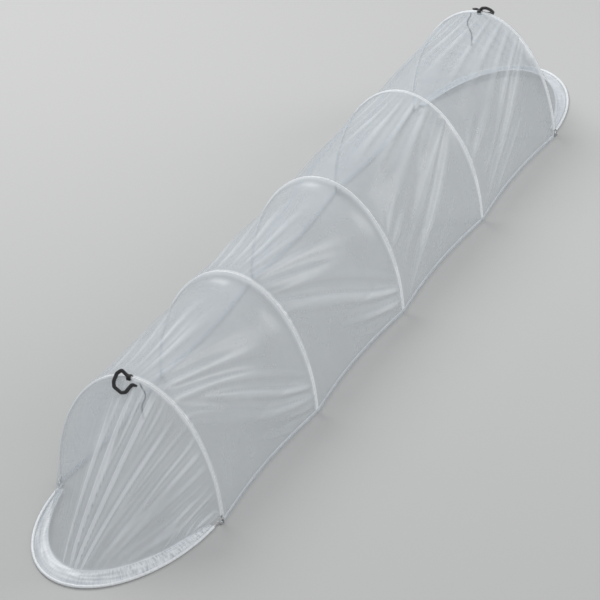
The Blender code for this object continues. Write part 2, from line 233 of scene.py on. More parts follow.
def grid_piece(name, points, material, closed=False, caps=False, marks=None):
    """A smooth skin through rows of points. closed joins each row's ends, caps closes the two ends."""
    rows, columns = points.shape[:2]
    count = columns if closed else columns - 1
    row, column = np.meshgrid(np.arange(rows - 1), np.arange(count), indexing="ij")
    this, beside = row * columns + column, row * columns + (column + 1) % columns
    quads = np.stack([this, beside, beside + columns, this + columns], -1).reshape(-1, 4)
    faces = quads.tolist() if marks is None else cut_along_marks(quads, marks["milk_and_highlight"])
    if caps:
        faces.append(list(range(columns - 1, -1, -1)))
        faces.append([(rows - 1) * columns + k for k in range(columns)])
    mesh = bpy.data.meshes.new(name)
    mesh.from_pydata(points.reshape(-1, 3).tolist(), [], faces)
    mesh.validate()
    face_outwards(mesh)
    for key, values in (marks or {}).items():
        attribute = mesh.attributes.new(key, "FLOAT", "POINT")
        attribute.data.foreach_set("value", np.asarray(values, np.float32).ravel())
    mesh.shade_smooth()
    mesh.set_sharp_from_angle(angle=SHARP_ANGLE)
    mesh.materials.append(material)
    return link(name, mesh)


def tube_points(path, radius, sides):
    """Rings round a path, one row for each of its points. radius is one number or an array of rings."""
    path = np.asarray(path, float)
    radius = np.broadcast_to(radius, (len(path), sides))
    turns = np.arange(sides) * 2 * math.pi / sides
    rings = np.empty((len(path), sides, 3))
    across = None
    for i, point in enumerate(path):
        along = Vector(path[min(i + 1, len(path) - 1)] - path[max(i - 1, 0)]).normalized()
        if across is None:
            across = along.orthogonal()
        across = (across - along * across.dot(along)).normalized()
        aside = along.cross(across)
        out = np.cos(turns)[:, None] * np.array(across) + np.sin(turns)[:, None] * np.array(aside)
        rings[i] = point + out * radius[i][:, None]
    return rings


def arch(angle, offset=0.0):
    """Points of a hoop's half ellipse, offset outwards, as (x, z) arrays."""
    c, s = np.cos(angle), np.sin(angle)
    long = np.hypot(HEIGHT * c, HALF_WIDTH * s)
    return HALF_WIDTH * c + offset * HEIGHT * c / long, HEIGHT * s + offset * HALF_WIDTH * s / long


def arc_length(angle):
    """Length of the arch from the right foot to each angle."""
    fine = np.linspace(0, math.pi, ARC_STEPS + 1)
    x, z = arch(fine)
    run = np.concatenate([[0], np.cumsum(np.hypot(np.diff(x), np.diff(z)))])
    return np.interp(angle, fine, run)


def path_angles(low, high, step):
    """Angles from one to another, about a step apart along the arch."""
    return np.linspace(low, high, int((arc_length(high) - arc_length(low)) / step))


def arch_path(low, high, step=PATH_STEP):
    """Points along the arch from one angle to another, in the hoop's own plane."""
    angle = path_angles(low, high, step)
    x, z = arch(angle)
    return np.stack([x, np.zeros_like(x), z], -1)


def end_path(low, high, step=PATH_STEP):
    """Points along the end hoop on the soil, from the outer hoop's plane."""
    angle = path_angles(low, high, step)
    x = END_HALF_WIDTH * np.cos(angle)
    y = -PIVOT_SETBACK - END_REACH * np.sin(angle)
    return np.stack([x, y, np.full_like(x, PIVOT_Z)], -1)


def mirrored(path):
    """The left half of a path, from its right half."""
    return [(-x, y, z) for x, y, z in reversed(path)]


def hoop_y(index):
    return FIRST_Y + SPACING * index


def placed(points, end):
    """Points of an end piece, given from the outer hoop's plane with -Y outwards, put in their place."""
    points = np.array(points, float)
    if end == "near":
        return points + (0, FIRST_Y, 0)
    return turned(points) + (0, LAST_Y, 0)


def hoop_placed(points, index):
    """Points given in a hoop's plane, put on that hoop. The last hoop's pieces face the far end."""
    if index == LAST_HOOP:
        return placed(points, "far")
    return np.asarray(points, float) + (0, hoop_y(index), 0)


def turned(points):
    """Points turned half a turn about Z, from the near half to the far half."""
    return points * (-1, -1, 1)


# Materials


def new_material(name):
    """A material, its shader, and the object's own coordinates for its textures."""
    material = bpy.data.materials.new(name)
    material.use_nodes = True
    nodes = material.node_tree.nodes
    return material, nodes["Principled BSDF"], nodes.new("ShaderNodeTexCoord").outputs["Object"]


def set_inputs(material, node, values, sources):
    """Gives some of a node's inputs their values, and links others from outputs."""
    for key, value in values.items():
        node.inputs[key].default_value = value
    for key, output in sources.items():
        material.node_tree.links.new(output, node.inputs[key])


def add_node(material, kind, values, sources, **settings):
    node = material.node_tree.nodes.new(kind)
    for key, value in settings.items():
        setattr(node, key, value)
    set_inputs(material, node, values, sources)
    return node


def noise(material, place, scale, detail=2, roughness=0.5):
    values = {"Scale": scale, "Detail": detail, "Roughness": roughness}
    return add_node(material, "ShaderNodeTexNoise", values, {"Vector": place}).outputs["Fac"]


def blended(material, low, high, share):
    """A colour between two, by a share."""
    values = {"A": (*low, 1), "B": (*high, 1)}
    node = add_node(material, "ShaderNodeMix", values, {"Factor": share}, data_type="RGBA")
    return node.outputs["Result"]


def ranged(material, source, low, high, start=0.0, stop=1.0):
    """A value that goes from low to high as its source goes from start to stop."""
    values = {"From Min": start, "From Max": stop, "To Min": low, "To Max": high}
    return add_node(material, "ShaderNodeMapRange", values, {"Value": source}).outputs["Result"]


def bumped(material, height, strength, distance, normal=None):
    """The surface's direction with a height's bumps on it, over another direction if one is given."""
    sources = {"Height": height} if normal is None else {"Height": height, "Normal": normal}
    values = {"Strength": strength, "Distance": distance}
    return add_node(material, "ShaderNodeBump", values, sources).outputs["Normal"]


def film_material(name, thin, milky_and_highlight, open_alpha, milky_and_highlight_alpha, roughness):
    """Polythene: clear where it is smooth, milky where it is doubled or crumpled, and whiter and more opaque
    along fold ridges as a painted highlight.
    """
    material, shader, place = new_material(name)
    milk_and_highlight = add_node(material, "ShaderNodeAttribute", {}, {}, attribute_name="milk_and_highlight").outputs["Fac"]
    cloud = noise(material, place, 9, detail=4)
    haze_and_highlight = add_node(
        material, "ShaderNodeMath", {1: 0.22}, {0: cloud, 2: milk_and_highlight}, operation="MULTIPLY_ADD", use_clamp=True
    ).outputs[0]
    cells = add_node(
        material, "ShaderNodeTexVoronoi", {"Scale": 42}, {"Vector": place}, feature="DISTANCE_TO_EDGE"
    ).outputs["Distance"]
    grain = noise(material, place, 150, detail=5, roughness=0.6)
    direction = bumped(material, cells, 0.2, 0.0012, bumped(material, grain, 0.35, 0.0006))
    # Milky film takes the whiter colour and is more opaque; along fold ridges that whiteness is a painted
    # highlight
    sources = {
        "Base Color": blended(material, thin, milky_and_highlight, haze_and_highlight),
        "Alpha": ranged(material, haze_and_highlight, open_alpha, milky_and_highlight_alpha),
        "Roughness": ranged(material, cloud, roughness - 0.06, roughness + 0.12),
        "Normal": direction,
    }
    set_inputs(material, shader, {"Specular IOR Level": 0.6}, sources)
    return material


def wire_material():
    """Galvanised wire: dull zinc in paler and darker spots."""
    material, shader, place = new_material("galvanised_wire")
    spots = noise(material, place, 260, detail=4)
    patches = ranged(material, spots, 0, 1, start=0.35, stop=0.65)
    sources = {
        "Base Color": blended(material, (0.42, 0.43, 0.44), (0.72, 0.73, 0.74), patches),
        "Roughness": ranged(material, spots, 0.28, 0.5),
        "Normal": bumped(material, spots, 0.2, 0.0002),
    }
    set_inputs(material, shader, {"Metallic": 1}, sources)
    return material


def plastic_material():
    """Black moulded plastic with a fine spark-eroded grain."""
    material, shader, place = new_material("black_plastic")
    wear = noise(material, place, 60)
    sources = {
        "Base Color": blended(material, (0.007, 0.007, 0.008), (0.022, 0.022, 0.024), wear),
        "Roughness": ranged(material, wear, 0.3, 0.48),
        "Normal": bumped(material, noise(material, place, 900, detail=3), 0.25, 0.0001),
    }
    set_inputs(material, shader, {}, sources)
    return material


def cord_material():
    """Black braid: diagonal bands along the cord."""
    material, shader, place = new_material("black_cord")
    values = {"Scale": 420, "Distortion": 1.5}
    settings = {"wave_type": "BANDS", "bands_direction": "DIAGONAL"}
    braid = add_node(material, "ShaderNodeTexWave", values, {"Vector": place}, **settings).outputs["Fac"]
    sources = {
        "Base Color": blended(material, (0.006, 0.006, 0.006), (0.035, 0.035, 0.038), braid),
        "Normal": bumped(material, braid, 0.6, 0.0003),
    }
    set_inputs(material, shader, {"Roughness": 0.85}, sources)
    return material


# Each film's second colour is milky film, and on the clear film's fold ridges it is a painted highlight
CLEAR = film_material("clear_film", (0.55, 0.61, 0.66), (0.90, 0.93, 0.95), 0.30, 0.92, 0.20)
DOUBLED = film_material("doubled_film", (0.80, 0.84, 0.87), (0.95, 0.97, 0.98), 0.72, 0.98, 0.30)
BAND = film_material("band_film", (0.66, 0.72, 0.78), (0.93, 0.96, 0.98), 0.44, 0.93, 0.28)
HEM = film_material("hem_film", (0.60, 0.66, 0.71), (0.90, 0.93, 0.95), 0.38, 0.90, 0.24)
WIRE = wire_material()
PLASTIC = plastic_material()
CORD = cord_material()


# The loose film of the bays, before it is drawn to its hoops

CROWN_SAG = 0.005
SIDE_SAG = 0.017
BAY_ROWS = 96
SKIRT_COLUMNS = 26
ROOF_COLUMNS = 120
BOTTOM = math.asin(SKIRT_BOTTOM / HEIGHT)
# Slack round the arch, downward pull at the farther hoop in metres and stretch along the tunnel, for
# the two bays of the near half
BAY_SLACK = ((0.008, 0.055, -0.004), (0.007, 0.050, -0.004))
BAY_SEEDS = (11, 16)
BAY_START_FOLDS = 0.0008
BAY_BENDING = 4.0
# How uneven the pull is round the arch, the angle that one wave of that takes, and how soon the pull
# grows from the crown down
PULL_UNEVEN_SHARE = 0.7
PULL_WAVE = 0.33
PULL_SEED = 91
PULL_ONSET = 3
# Grid cells in one wave of the moves that start the folds
START_WAVE = 6.3


def bay_angles():
    low = np.linspace(BOTTOM, SHOULDER, SKIRT_COLUMNS + 1)
    roof = np.linspace(SHOULDER, math.pi - SHOULDER, ROOF_COLUMNS + 1)
    return np.concatenate([low[:-1], roof, math.pi - low[-2::-1]])


def bay_surface(slack=0.0, pull=0.0, stretch=0.0):
    """The film of the first bay: its sagging arch, or that arch loosened and pulled askew."""
    share, angle = np.meshgrid(np.linspace(0, 1, BAY_ROWS + 1), bay_angles(), indexing="ij")
    c, s = np.cos(angle), np.sin(angle)
    inset = (CROWN_SAG + (SIDE_SAG - CROWN_SAG) * c**2) * np.sin(math.pi * share)
    radius = np.hypot(HALF_WIDTH * s, HEIGHT * c)
    uneven = 1 + PULL_UNEVEN_SHARE * row_noise(angle / PULL_WAVE, PULL_SEED)
    askew = angle + pull * uneven * (share - 0.5) * np.tanh(PULL_ONSET * c) / radius
    x, z = arch(askew, FILM_OFFSET - inset)
    length = SPACING - 2 * EDGE
    y = EDGE + length * (0.5 + (share - 0.5) * (1 + stretch))
    return np.stack([x * (1 + slack), y, z * (1 + slack)], -1)


def roughened(points, held, amount, seed):
    """Points moved a little, except where they are held, so that film can start to fold."""
    rows, columns = np.indices(held.shape)
    for axis in range(3):
        wave = gradient_noise(rows / START_WAVE, columns / START_WAVE, seed + axis)
        points[..., axis] += wave * amount * ~held
    return points


def bay_cloth(bay):
    """A bay's loose film, its drawn film, the points that are held, and its bending stiffness."""
    drawn = bay_surface()
    held = np.zeros(drawn.shape[:2], bool)
    held[0] = held[-1] = True
    held[:, 0] = held[:, -1] = True
    loose = roughened(bay_surface(*BAY_SLACK[bay]), held, BAY_START_FOLDS, BAY_SEEDS[bay])
    return loose, drawn, held, BAY_BENDING


# The loose film of the two end canopies

CANOPY_COLUMNS = 260
CANOPY_ROWS = 90
CANOPY_SAG = 0.004
CANOPY_SLACK_RIGHT = 0.14
CANOPY_SLACK_LEFT = -0.012
CANOPY_SLACK_LOW = 0.05
# Where the slack of the left side gives way to that of the right
SLACK_TURN_X = -0.01
SLACK_TURN_WIDTH = 0.010
# The lower edge's slack grows to the right over this length
SLACK_LOW_REACH = 0.1
SLACK_UNEVEN_SHARE = 0.8
SLACK_WAVE = 0.055
SLACK_SEED_STEP = 7
# How far the loose film's lower edge lies to the right, so that its folds lean to the left as they fall
CANOPY_LEAN = 0.06
CANOPY_SEEDS = {"near": 5, "far": 6}
CANOPY_START_FOLDS = 0.0006
CANOPY_BENDING = 1.5


def band_width(angle):
    """The band narrows towards the pivots."""
    return BAND_WIDTH * np.sqrt(np.sin(angle))


def band_point(angle, share, lift):
    """Points of the band at shares of its width from the wire, lifted, from the outer hoop's plane."""
    inset = EDGE + share * band_width(angle) * math.cos(BAND_SLOPE)
    rise = share * band_width(angle) * math.sin(BAND_SLOPE)
    x = (END_HALF_WIDTH - inset) * np.cos(angle)
    y = -PIVOT_SETBACK - (END_REACH - inset) * np.sin(angle)
    return np.stack([x, y, PIVOT_Z + rise + lift], -1)


def canopy_surface():
    """The canopy without folds, rows along the arch and columns from the band up to the hoop."""
    shares = np.linspace(0, 1, CANOPY_COLUMNS + 1), np.linspace(0, 1, CANOPY_ROWS + 1)
    share, rise = np.meshgrid(*shares, indexing="ij")
    angle = FOOT + (math.pi - 2 * FOOT) * share
    low = band_point(angle, 1 - CANOPY_LAP / band_width(angle), CANOPY_LAP_RISE)
    x, z = arch(angle, FILM_OFFSET)
    high = np.stack([x, np.full_like(x, -EDGE - FILM / 2), z], -1)
    base = low + (high - low) * rise[..., None]
    outward = np.stack([np.cos(angle), -np.sin(angle), np.sin(angle)], -1)
    outward /= np.linalg.norm(outward, axis=-1, keepdims=True)
    sag = CANOPY_SAG * np.sqrt(np.clip(np.sin(math.pi * share), 0, 1)) * np.sin(math.pi * rise)
    return base - outward * sag[..., None], rise


def canopy_cloth(end):
    """As bay_cloth: slack is gathered on the canopy's right side, and its left side is taut."""
    drawn, rise = canopy_surface()
    seed = CANOPY_SEEDS[end]
    held = (rise == 0) | (rise == 1)
    held[0] = held[-1] = True
    loose = roughened(drawn.copy(), held, CANOPY_START_FOLDS, seed)
    right = step_up(drawn[..., 0], SLACK_TURN_X, SLACK_TURN_WIDTH)
    uneven = 1 + SLACK_UNEVEN_SHARE * row_noise(drawn[..., 0] / SLACK_WAVE, seed + SLACK_SEED_STEP)
    loose[..., 0] *= 1 + CANOPY_SLACK_LEFT + (CANOPY_SLACK_RIGHT * uneven - CANOPY_SLACK_LEFT) * right
    loose[..., 0] += CANOPY_LEAN * (1 - rise) * right
    lower = (1 - rise) ** 2 * np.clip(drawn[..., 0] / SLACK_LOW_REACH, 0, 1)
    loose[..., 1] *= 1 + CANOPY_SLACK_LOW * lower
    return loose, drawn, held, CANOPY_BENDING


# Film settled by simulation: it starts a little loose and is drawn to its hoops

DRAW_FRAMES = 9
SETTLE_FRAMES = 26
# Share of the settled film's broad sag that is kept beside the sag that the solids have, and the sine
# waves each way that count as broad
KEPT_SAG = 0.15
BROAD_WAVES = (2, 6)
# Row and column spread, in cells, of the smoothing that takes the solver's jags out of each film
SETTLED_SPREAD = {"bay_0": (0.8, 0.8), "bay_1": (0.8, 0.8), "near": (1.0, 2.2), "far": (1.0, 2.2)}


def start_cloth(name, loose, drawn, held, bending):
    """An object that the cloth solver will draw from its loose shape to its hoops."""
    obj = grid_piece(name, loose, CLEAR)
    obj.shape_key_add(name="Basis")
    key = obj.shape_key_add(name="drawn")
    key.data.foreach_set("co", drawn.astype(np.float32).ravel())
    for time, value in ((1, 0.0), (DRAW_FRAMES, 1.0)):
        key.value = value
        key.keyframe_insert("value", frame=time)
    obj.vertex_groups.new(name="held").add(np.flatnonzero(held).tolist(), 1.0, "REPLACE")
    cloth = obj.modifiers.new("cloth", "CLOTH")
    settings = cloth.settings
    settings.vertex_group_mass = "held"
    settings.quality = 3
    settings.mass = 0.02
    settings.tension_stiffness = 40
    settings.compression_stiffness = 20
    settings.shear_stiffness = 12
    settings.bending_stiffness = bending
    settings.bending_damping = 0.5
    settings.air_damping = 2
    settings.effector_weights.gravity = 0.12
    cloth.collision_settings.use_collision = False
    cloth.point_cache.frame_start = 1
    cloth.point_cache.frame_end = SETTLE_FRAMES
    return obj


def settled_points(obj, graph, drawn, held, spread):
    """A settled film's points, smoothed a little and with most of its broad sag taken out."""
    mesh = obj.evaluated_get(graph).to_mesh()
    points = np.empty(len(mesh.vertices) * 3, np.float32)
    mesh.vertices.foreach_get("co", points)
    move = points.reshape(drawn.shape).astype(float) - drawn
    move = np.stack([smoothed(move[..., axis], *spread) for axis in range(3)], -1)
    move[held] = 0
    return drawn + move - (1 - KEPT_SAG) * broad_part(move, *BROAD_WAVES)


def settled_films():
    """The film's points by name, after the cloth solver has drawn every film to its hoops."""
    cloths = {f"bay_{bay}": bay_cloth(bay) for bay in (0, 1)}
    cloths.update({end: canopy_cloth(end) for end in ("near", "far")})
    objects = {name: start_cloth(f"settle_{name}", *parts) for name, parts in cloths.items()}
    scene = bpy.context.scene
    for time in range(1, SETTLE_FRAMES + 1):
        scene.frame_set(time)
    graph = bpy.context.evaluated_depsgraph_get()
    settled = {}
    for name, obj in objects.items():
        _, drawn, held, _ = cloths[name]
        settled[name] = settled_points(obj, graph, drawn, held, SETTLED_SPREAD[name])
    for obj in objects.values():
        data = obj.data
        bpy.data.objects.remove(obj)
        bpy.data.meshes.remove(data)
    scene.frame_set(1)
    return settled


# The cover between the hoops

# Curvature, in 1/m, at which a ridge and a hollow are as milky as they get, and how milky that is. A ridge is
# made whiter than a hollow as a painted highlight on the fold crests
RIDGE_BEND = 42
RIDGE_MILK_AND_HIGHLIGHT = 0.55
HOLLOW_BEND = 50
HOLLOW_MILK = 0.22
LEAST_GRID_STEP = 0.002
# Keeps a division by nought out
TINY = 1e-12
# Spread, in cells, of the smoothing that takes fine grain out of the milkiness
BAY_MILK_SPREAD = (1.9, 1.7)
CANOPY_MILK_SPREAD = (1.4, 2.6)
WELD_MILK = 0.85
WELD_REACH = 0.0048
# The slot for the hook's collar: its gap beside the collar and round it. The canopy's gap is longer,
# because the canopy folds back over the collar
SLOT_SIDE_GAP = 0.002
BAY_SLOT_GAP = 0.0035
CANOPY_SLOT_GAP = 0.0085
# The hem's section: how far out it stands, in metres, and how high, as a share of the hem's height
HEM_SECTION = ((-0.0002, 1.0), (0.0006, 0.96), (0.0013, 0.62), (0.0012, 0.30), (0.0007, 0.03), (-0.0002, 0.0))
# Index in that section of the hem's weld line
WELD_LINE = 1
HEM_RUFFLE = 0.0004
HEM_RUFFLE_WAVE = 0.012
HEM_RUFFLE_SEED = 71
HEM_RUFFLE_ROW = 3.1
HEM_MILK = 0.16
HEM_MILK_UNEVEN = 0.1
HEM_MILK_WAVE = 0.02
HEM_MILK_SEED = 72
HEM_WELD_MILK = 0.25


def bay_grids(settled):
    """Each bay's film, rows towards the far end and columns from right to left."""
    near = [settled["bay_0"] + (0, FIRST_Y, 0), settled["bay_1"] + (0, FIRST_Y + SPACING, 0)]
    far = [turned(points)[::-1, ::-1] for points in near[::-1]]
    return near + far


def crease_milk_and_highlight(points, base, spread):
    """Milkiness of crumpled film, with a painted highlight: ridges are made whiter and more opaque than
    hollows, as if they caught the light.
    """
    down, along = np.gradient(base, axis=0), np.gradient(base, axis=1)
    normal = np.cross(down, along)
    normal /= np.linalg.norm(normal, axis=-1, keepdims=True) + TINY
    normal *= np.where(normal[..., 2:] < 0, -1, 1)
    height = smoothed(((points - base) * normal).sum(-1), *spread)
    row_step = np.maximum(np.linalg.norm(down, axis=-1), LEAST_GRID_STEP)
    column_step = np.maximum(np.linalg.norm(along, axis=-1), LEAST_GRID_STEP)
    bent = curvature(height, row_step, column_step)
    # Painted highlight: fold crests get more whiteness than hollows
    ridge = np.clip(-bent / RIDGE_BEND, 0, 1)
    hollow = np.clip(bent / HOLLOW_BEND, 0, 1)
    return np.clip(ridge * RIDGE_MILK_AND_HIGHLIGHT + hollow * HOLLOW_MILK, 0, 1)


def weld_milk(away):
    """The film is welded double just beside a hoop's sleeve."""
    return WELD_MILK * np.exp(-((np.maximum(away, 0) / WELD_REACH) ** 2))


def cut_slot(obj, index, gap):
    """Opens the film at a hoop's crown, where the hook's collar stands in it."""
    shape = bmesh.new()
    shape.from_mesh(obj.data)
    inside = []
    for face in shape.faces:
        middle = face.calc_center_median()
        away = math.hypot(middle.y - hoop_y(index), middle.z - HEIGHT)
        if abs(middle.x) < COLLAR_LENGTH / 2 + SLOT_SIDE_GAP and away < COLLAR_R + gap:
            inside.append(face)
    bmesh.ops.delete(shape, geom=inside, context="FACES")
    shape.to_mesh(obj.data)
    shape.free()


def make_bay_film(bay, grid, milk_and_highlight):
    roof = slice(SKIRT_COLUMNS, SKIRT_COLUMNS + ROOF_COLUMNS + 1)
    obj = grid_piece(f"cover_film_{bay + 1}", grid[:, roof], CLEAR, marks={"milk_and_highlight": milk_and_highlight[:, roof]})
    if bay == 0:
        cut_slot(obj, 0, BAY_SLOT_GAP)
    if bay == LAST_HOOP - 1:
        cut_slot(obj, LAST_HOOP, BAY_SLOT_GAP)
    dress(obj, "frame", f"bay_film_{bay + 1}")


def squash_with_side(obj):
    """Gives a piece a mesh of its own."""
    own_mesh(obj)


def make_skirt(side, grids, bay_milk_and_highlight):
    """The side film from the shoulder down to its hem, over all the bays."""
    last = SKIRT_COLUMNS + ROOF_COLUMNS
    columns = slice(0, SKIRT_COLUMNS + 1) if side == "right" else slice(last, last + SKIRT_COLUMNS + 1)
    points = np.concatenate([grid[:, columns] for grid in grids])
    milk_and_highlight = np.concatenate([values[:, columns] for values in bay_milk_and_highlight])
    hem = make_hem(side, points[:, 0 if side == "right" else -1])
    obj = grid_piece(f"{side}_skirt_film", points, CLEAR, marks={"milk_and_highlight": milk_and_highlight})
    dress(obj, "frame", f"{side}_side_skirt")
    squash_with_side(obj)


def make_hem(side, edge):
    """The folded hem along the film's bottom edge, slightly rolled, with its weld line."""
    sign = 1 if side == "right" else -1
    run = edge[:, 1] - edge[0, 1]
    ruffle = HEM_RUFFLE * row_noise(run / HEM_RUFFLE_WAVE, HEM_RUFFLE_SEED, HEM_RUFFLE_ROW)
    rows = np.empty((len(edge), len(HEM_SECTION), 3))
    for k, (out, up) in enumerate(HEM_SECTION):
        rows[:, k, 0] = edge[:, 0] + sign * (out + ruffle * up)
        rows[:, k, 1] = edge[:, 1]
        rows[:, k, 2] = HEM_LOW.z + up * (HEM_HIGH.z - HEM_LOW.z)
    uneven = HEM_MILK_UNEVEN * row_noise(run / HEM_MILK_WAVE, HEM_MILK_SEED)
    milk_and_highlight = HEM_MILK + uneven[:, None] * np.ones(rows.shape[:2])
    milk_and_highlight[:, WELD_LINE] += HEM_WELD_MILK
    obj = grid_piece(f"{side}_hem", rows, HEM, closed=True, caps=True, marks={"milk_and_highlight": milk_and_highlight})
    dress(obj, f"{side}_side", f"{side}_side_hem")
    return obj


def make_cover(settled):
    """Roof, skirts and hems from the settled bays."""
    base = bay_surface()
    grids, bay_milk_and_highlight = [], []
    for bay, points in enumerate(bay_grids(settled)):
        grid = edge_rows_added(points)
        along = grid[..., 1] - hoop_y(bay)
        # The bays' milkiness includes a painted highlight along their fold ridges
        milk_and_highlight = edge_rows_added(crease_milk_and_highlight(points - (0, hoop_y(bay), 0), base, BAY_MILK_SPREAD))
        milk_and_highlight = np.maximum(milk_and_highlight, weld_milk(np.minimum(along, SPACING - along) - EDGE))
        make_bay_film(bay, grid, milk_and_highlight)
        grids.append(grid)
        bay_milk_and_highlight.append(milk_and_highlight)
    for side in ("left", "right"):
        make_skirt(side, grids, bay_milk_and_highlight)


# Sleeves and wires

SLEEVE_SIDES = 20
SLEEVE_SEED = 200
LOW_SLEEVE_SEED = 220
RIM_SLEEVE_SEEDS = {"near": 300, "far": 310}
# Angles between which the sleeves of the inner hoops' lower parts lie
LOW_SLEEVES = {"right": (FOOT, SHOULDER), "left": (math.pi - SHOULDER, math.pi - FOOT)}
RUFFLE = 0.00045
# Puckers of a film channel: share, length along the wire, and how they run round it in the noise
PUCKERS = ((1.0, 0.006, np.cos, 1.3, 5), (0.5, 0.0025, np.sin, 1.7, 9))
LEAST_PUCKER = -1.4
SLEEVE_MILK = 0.55
PUCKER_MILK = 0.28
LEAST_SLEEVE_MILK = 0.1
WIRE_SIDES = 12
EYE_STEPS = 48
BEND_STEPS = 8
# The inner hoops' legs end just below the soil line, where their arch starts
LEG_TOP = -0.001


def ruffled_tube(name, path, seed):
    """A film channel round a wire: its skin puckers along the wire."""
    run = np.concatenate([[0], np.cumsum(np.linalg.norm(np.diff(path, axis=0), axis=1))])
    turn = np.arange(SLEEVE_SIDES) / SLEEVE_SIDES * 2 * math.pi
    along, around = np.meshgrid(run, turn, indexing="ij")
    pucker = np.zeros_like(along)
    for k, (share, length, circle, size, start) in enumerate(PUCKERS):
        pucker += share * gradient_noise(along / length, circle(around) * size + start, seed + k)
    radius = SLEEVE_R - RUFFLE + RUFFLE * np.clip(pucker, LEAST_PUCKER, 1)
    points = tube_points(path, radius, SLEEVE_SIDES)
    milk_and_highlight = np.clip(SLEEVE_MILK + PUCKER_MILK * pucker, LEAST_SLEEVE_MILK, 1)
    return grid_piece(name, points, DOUBLED, closed=True, marks={"milk_and_highlight": milk_and_highlight})


def make_sleeve(index):
    outer = index in (0, LAST_HOOP)
    low = FOOT if outer else SHOULDER
    path = hoop_placed(arch_path(low, math.pi - low), index)
    obj = ruffled_tube(f"sleeve_{index + 1}", path, SLEEVE_SEED + index)
    dress(obj, "frame", f"hoop_sleeve_{index + 1}")
    if not outer:
        for side, angles in LOW_SLEEVES.items():
            path = hoop_placed(arch_path(*angles), index)
            obj = ruffled_tube(f"sleeve_{index + 1}_{side}_low", path, LOW_SLEEVE_SEED + index)
            dress(obj, "frame")
            squash_with_side(obj)


def leg_path(outer):
    """The right leg from its point up to the foot, through the coil eye on the outer hoops."""
    x = HALF_WIDTH + PITCH if outer else HALF_WIDTH
    path = [(x, 0, SPIKE_END), (x, 0, SPIKE_END + SPIKE_POINT)]
    if not outer:
        return [*path, (x, 0, LEG_TOP)]
    path.append((x, 0, EYE_Z - EYE_R))
    for k in range(EYE_STEPS + 1):
        turn = 2 * math.pi * k / EYE_STEPS
        forward, up = -EYE_R * (1 - math.cos(turn)), EYE_Z + EYE_R * math.sin(turn)
        path.append((x - PITCH * k / EYE_STEPS, forward, up))
    return path


def make_wire(index):
    outer = index in (0, LAST_HOOP)
    leg = leg_path(outer)
    low = FOOT if outer else 0.0
    path = np.concatenate([leg, arch_path(low, math.pi - low, WIRE_STEP), mirrored(leg)])
    radius = np.full(len(path), WIRE_R)
    radius[0] = radius[-1] = SPIKE_TIP_R
    points = tube_points(hoop_placed(path, index), radius[:, None], WIRE_SIDES)
    obj = grid_piece(f"wire_{index + 1}", points, WIRE, closed=True, caps=True)
    dress(obj, "frame", f"hoop_{index + 1}")


def make_end_wire(end):
    side = [(PIN_END, -PIVOT_SETBACK, PIVOT_Z)]
    for k in range(BEND_STEPS + 1):
        turn = math.pi / 2 * k / BEND_STEPS
        x = END_HALF_WIDTH + BEND_R * (1 - math.sin(turn))
        side.append((x, -PIVOT_SETBACK - BEND_R * (1 - math.cos(turn)), PIVOT_Z))
    path = np.concatenate([side, end_path(FOOT, math.pi - FOOT, WIRE_STEP), mirrored(side)])
    points = tube_points(placed(path, end), WIRE_R, WIRE_SIDES)
    obj = grid_piece(f"{end}_end_wire", points, WIRE, closed=True, caps=True)
    dress(obj, f"{end}_end", f"{end}_end_hoop")


def make_end_sleeve(end):
    path = placed(end_path(FOOT, math.pi - FOOT), end)
    obj = ruffled_tube(f"{end}_rim_sleeve", path, RIM_SLEEVE_SEEDS[end])
    dress(obj, f"{end}_end", f"{end}_end_sleeve")


# The band and the canopy of each end

BAND_COLUMNS = 560
BAND_ROWS = 14
BAND_SEEDS = {"near": 400, "far": 420}
# Gathers and wrinkles of the band: share, length along the wire and count across, with their seed's step
GATHERS = ((0.6, 0.011, 1.2, 0), (0.5, 0.0055, 2.0, 1))
WRINKLES = (0.15, 4.2, 3)
SWELLS = (0.06, 1, 2)
# The gathers fade to this share on the left side, from this angle on
GATHER_LEAST_SHARE = 0.30
GATHER_END = 1.15
GATHER_END_WIDTH = 0.16
BAND_LIFT = 0.0016
BAND_GATHER_SHARE = 0.6
BAND_WRINKLE_SHARE = 0.5
BAND_SWELL = 0.0012
BAND_MILK = 0.22
GATHER_MILK = 0.42
WRINKLE_MILK = 0.22
BAND_EDGE_MILK = 0.55
BAND_EDGE_SHARE = 0.9
CANOPY_FOOT_MILK = 0.8
CANOPY_FOOT_REACH = 0.004


def make_band(end):
    """The band inside the end hoop: wrinkled along its run, and gathered across on its right side."""
    angles = np.linspace(FOOT, math.pi - FOOT, BAND_COLUMNS)
    angle, share = np.meshgrid(angles, np.linspace(0, 1, BAND_ROWS), indexing="ij")
    run = arc_length(angle)
    seed = BAND_SEEDS[end]
    gather = sum(size * ridges(run / length, share * count, seed + k) for size, length, count, k in GATHERS)
    fade = step_up(-angle, -GATHER_END, GATHER_END_WIDTH)
    gather *= GATHER_LEAST_SHARE + (1 - GATHER_LEAST_SHARE) * fade
    length, count, k = WRINKLES
    wrinkle = ridges(run / length, share * count, seed + k)
    length, count, k = SWELLS
    swell = gradient_noise(run / length, share * count, seed + k)
    lift = BAND_LIFT * (1 + BAND_GATHER_SHARE * gather + BAND_WRINKLE_SHARE * wrinkle) + BAND_SWELL * swell
    points = band_point(angle, share, np.maximum(lift * np.sin(math.pi * share), 0))
    milk_and_highlight = np.clip(BAND_MILK + GATHER_MILK * gather + WRINKLE_MILK * wrinkle, 0, 1)
    milk_and_highlight = np.maximum(milk_and_highlight, BAND_EDGE_MILK * (share > BAND_EDGE_SHARE))
    obj = grid_piece(f"{end}_gathered_band", placed(points, end), BAND, marks={"milk_and_highlight": milk_and_highlight})
    dress(obj, f"{end}_end", f"{end}_hem_band")
    return obj


